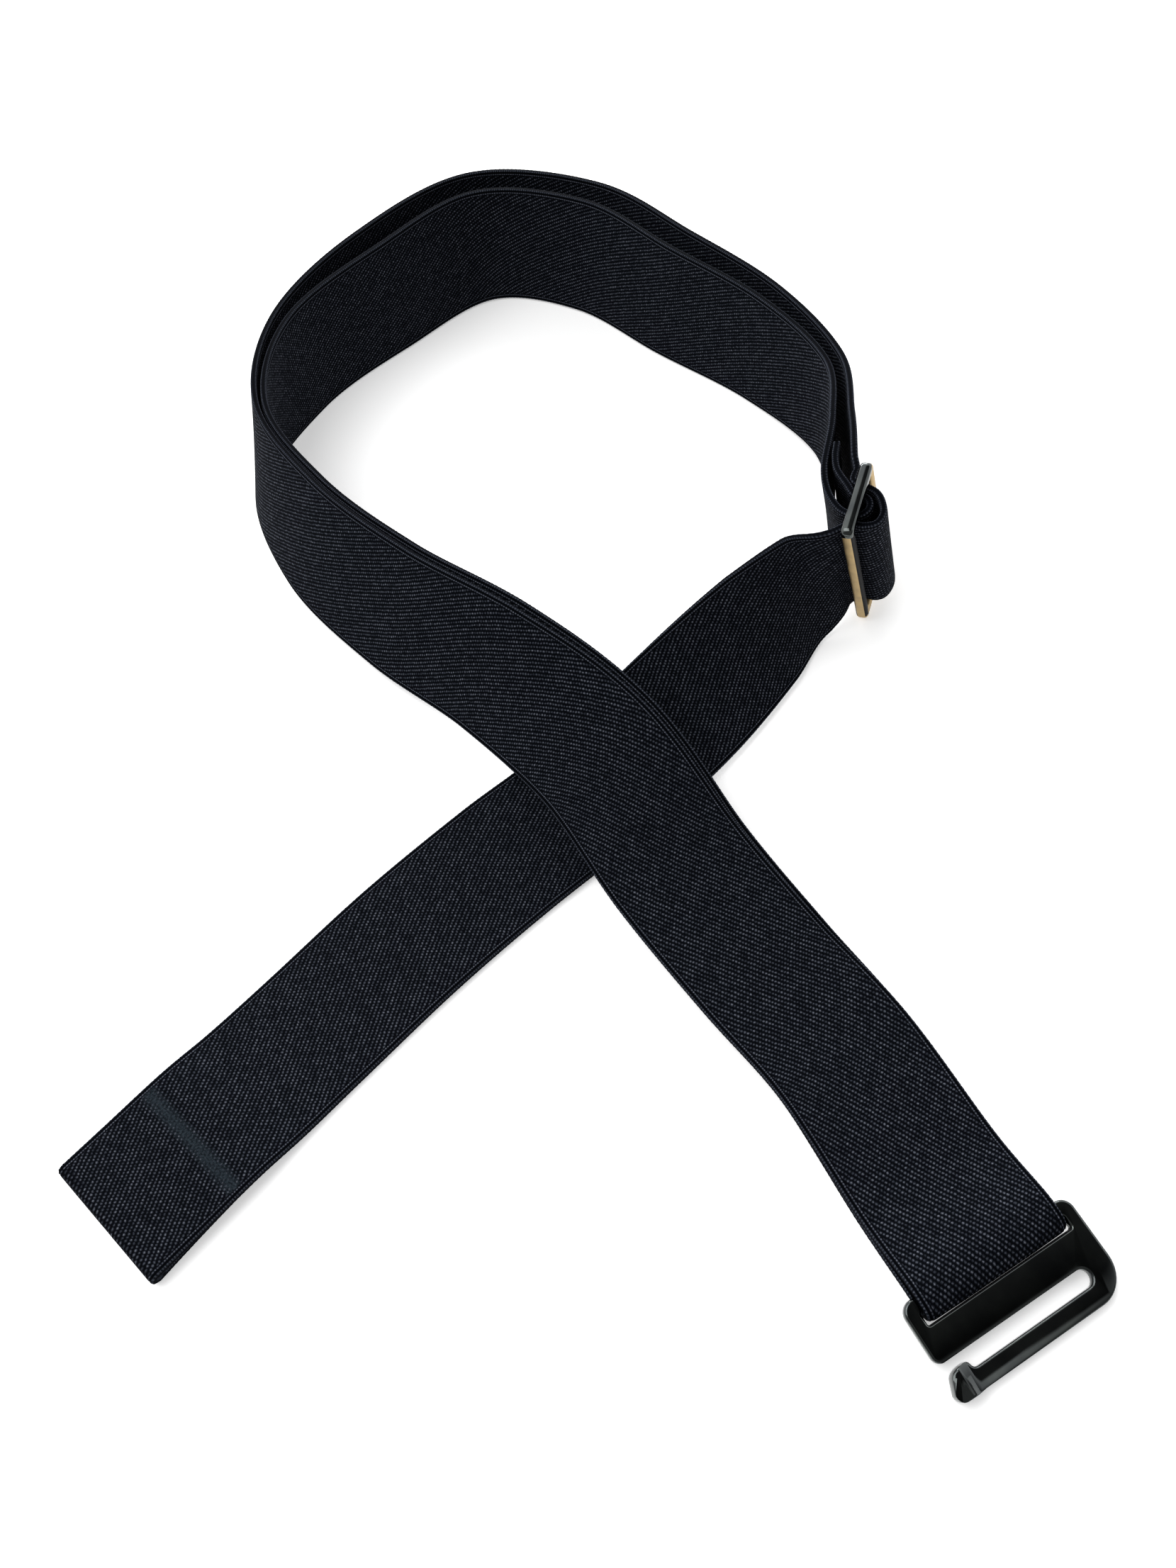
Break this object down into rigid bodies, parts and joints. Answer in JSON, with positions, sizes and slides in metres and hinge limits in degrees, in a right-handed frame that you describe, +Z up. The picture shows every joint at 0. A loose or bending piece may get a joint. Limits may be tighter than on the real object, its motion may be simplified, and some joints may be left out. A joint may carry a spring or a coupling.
{
  "type": "elastic stretch belt",
  "caption": "Narrow elastic stretch belt lying fastened in a loop, with a three-bar slider and a slotted hook plate.",
  "frame": {"origin": "Middle of the belt's outer box, on the surface that the belt lies on.", "axes": "+Z is up from that surface. +Y runs from the hook plate's side to the back of the waist loop. +X runs to the slider's side."},
  "size_m": [0.1878, 0.3054, 0.0377],
  "materials": {
    "webbing": "matte woven elastic, near black",
    "slider_metal": "black nickel over brass, glossy",
    "hook_metal": "polished black nickel"
  },
  "bodies": {
    "root": {"elastic_webbing": "webbing", "slider_frame": "slider_metal", "hook_plate": "hook_metal"}
  },
  "joints": []
}
